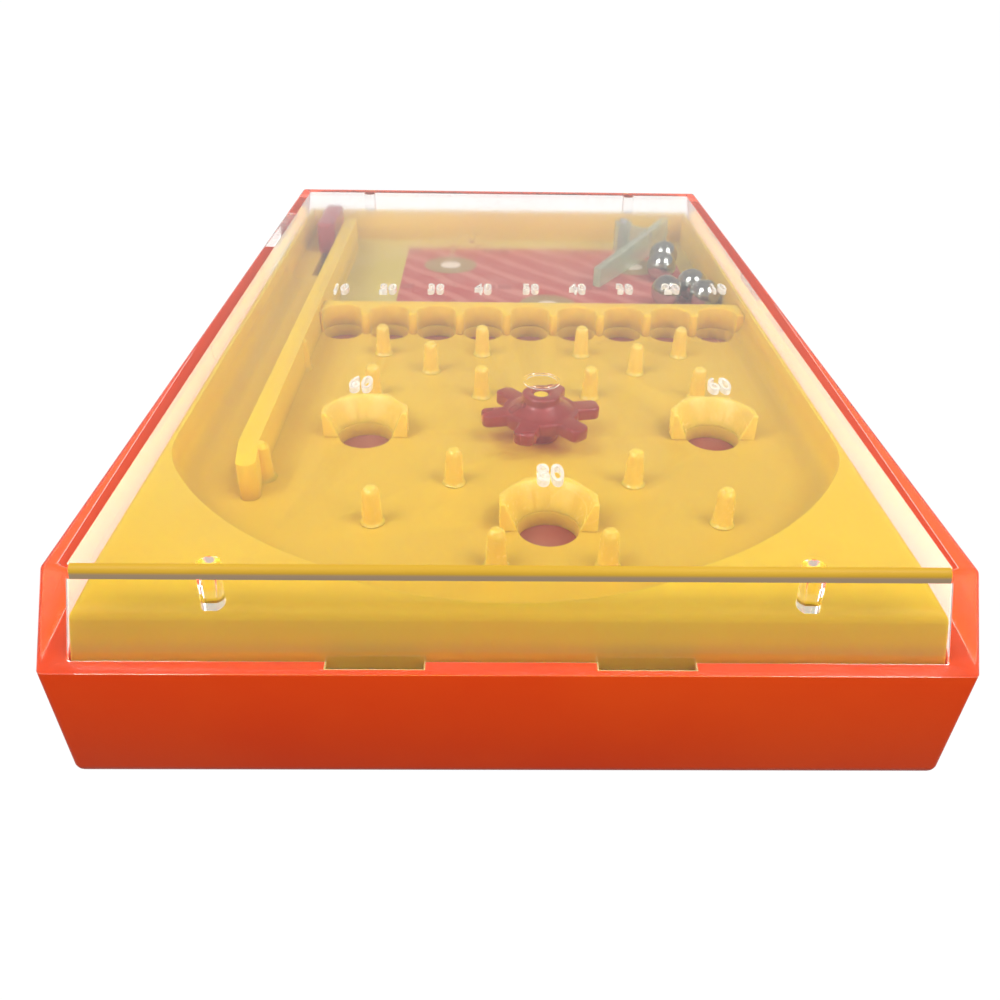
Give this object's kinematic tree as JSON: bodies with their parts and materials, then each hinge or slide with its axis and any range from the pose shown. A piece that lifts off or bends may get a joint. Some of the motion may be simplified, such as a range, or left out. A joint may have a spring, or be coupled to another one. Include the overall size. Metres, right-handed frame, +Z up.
{
  "type": "pocket ball game",
  "caption": "Flat pocket ball game: orange tray, clear cover, yellow playfield with pins, cups and a row of pockets, spinner, side launcher, swinging gate and loose steel balls.",
  "frame": {"origin": "middle of the flat underside", "axes": "+Y along the case towards the reservoir end, +X to the right seen from the arc end, +Z up through the clear cover"},
  "size_m": [0.075, 0.12, 0.0211],
  "materials": {
    "orange_plastic": "satin moulded",
    "printed_card": "matte print",
    "yellow_plastic": "satin moulded",
    "clear_plastic": "clear gloss",
    "red_clear_plastic": "dusky translucent",
    "red_plastic": "gloss",
    "spring_steel": "drawn wire",
    "smoke_clear_plastic": "smoky translucent",
    "pin_steel": "turned",
    "ball_steel": "polished"
  },
  "bodies": {
    "case": {"base_tray": "orange_plastic", "picture_card": "printed_card", "playfield": "yellow_plastic", "lane_wall": "yellow_plastic", "pocket_ridge": "yellow_plastic", "cup_left": "yellow_plastic", "cup_right": "yellow_plastic", "cup_near": "yellow_plastic", "pin_1": "yellow_plastic", "pin_2": "yellow_plastic", "pin_3": "yellow_plastic", "pin_4": "yellow_plastic", "pin_5": "yellow_plastic", "pin_6": "yellow_plastic", "pin_7": "yellow_plastic", "pin_8": "yellow_plastic", "pin_9": "yellow_plastic", "pin_10": "yellow_plastic", "pin_11": "yellow_plastic", "pin_12": "yellow_plastic", "pin_13": "yellow_plastic", "pin_14": "yellow_plastic", "pin_15": "yellow_plastic", "pin_16": "yellow_plastic", "clear_cover": "clear_plastic", "launcher_spring": "spring_steel", "gate_pin": "pin_steel"},
    "rotor": {"spinner": "red_clear_plastic"},
    "launcher": {"launcher": "red_plastic"},
    "gate": {"ball_gate": "smoke_clear_plastic"},
    "ball_a": {"ball_1": "ball_steel"},
    "ball_b": {"ball_2": "ball_steel"},
    "ball_c": {"ball_3": "ball_steel"},
    "ball_d": {"ball_4": "ball_steel"},
    "ball_e": {"ball_5": "ball_steel"}
  },
  "joints": [
    {"name": "spinner_spin", "type": "hinge", "parent": "case", "child": "rotor", "pos_m": [0.00385, -0.023, 0.0155], "axis": [0, 0, 1], "continuous": true},
    {"name": "launcher_push", "type": "slide", "parent": "case", "child": "launcher", "axis": [0, -1, 0], "range_m": [0, 0.013], "stiffness_N_per_m": 20, "springref_m": -0.01, "deforming": ["launcher_spring"]},
    {"name": "gate_swing", "type": "hinge", "parent": "case", "child": "gate", "pos_m": [0.0222, 0.0514, 0.0138], "axis": [0, 0, 1], "range_deg": [-12, 8]},
    {"name": "ball_1_roll", "type": "slide", "parent": "case", "child": "ball_a", "axis": [0, 1, 0], "range_m": [0, 0.0035]},
    {"name": "ball_2_roll", "type": "slide", "parent": "case", "child": "ball_b", "axis": [1, 0, 0], "range_m": [-0.002, 0.0044]},
    {"name": "ball_3_roll", "type": "slide", "parent": "case", "child": "ball_c", "axis": [1, 0, 0], "range_m": [-0.001, 0.003]},
    {"name": "ball_4_roll", "type": "slide", "parent": "case", "child": "ball_d", "axis": [0, -1, 0], "range_m": [0, 0.007]},
    {"name": "ball_5_roll", "type": "slide", "parent": "case", "child": "ball_e", "axis": [-1, 0, 0], "range_m": [0, 0.045]}
  ]
}
